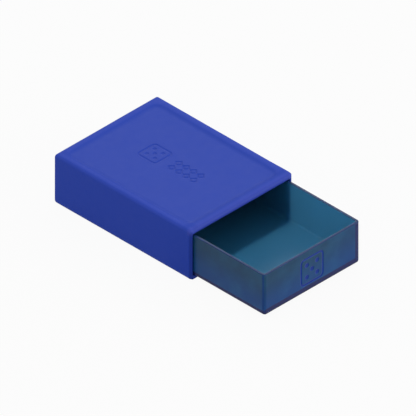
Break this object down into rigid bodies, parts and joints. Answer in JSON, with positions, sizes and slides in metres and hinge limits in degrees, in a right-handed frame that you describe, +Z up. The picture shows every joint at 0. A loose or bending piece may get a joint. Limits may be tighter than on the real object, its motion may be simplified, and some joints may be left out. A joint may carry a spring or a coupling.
{
  "type": "storage chest with sliding drawer",
  "caption": "Low rectangular chest: a soft-wrapped board sleeve with a padded top, and a translucent open drawer that slides out of one end.",
  "frame": {"origin": "centre of the sleeve's bottom face", "axes": "+Z up, -Y the way the drawer slides out, X across the drawer"},
  "size_m": [0.0906, 0.1818, 0.0382],
  "materials": {
    "cover": "matt fine-grained leatherette",
    "foam": "closed-cell foam",
    "board": "dense grey board",
    "lining": "short-napped dark lining",
    "magnet": "nickel-plated disc",
    "tray": "translucent frosted plastic"
  },
  "bodies": {
    "sleeve": {"outer_cover": "cover", "back_cover": "cover", "top_pad": "foam", "top_board": "board", "bottom_board": "board", "left_board": "board", "right_board": "board", "back_board": "board", "top_lining": "lining", "bottom_lining": "lining", "left_lining": "lining", "right_lining": "lining", "back_lining": "lining", "sleeve_magnet_left": "magnet", "sleeve_magnet_right": "magnet"},
    "drawer": {"drawer_tray": "tray", "drawer_magnet_left": "magnet", "drawer_magnet_right": "magnet", "magnet_cap_left": "tray", "magnet_cap_right": "tray"}
  },
  "joints": [
    {"name": "drawer_slide", "type": "slide", "parent": "sleeve", "child": "drawer", "axis": [0, -1, 0], "range_m": [-0.0598, 0.0585]}
  ]
}
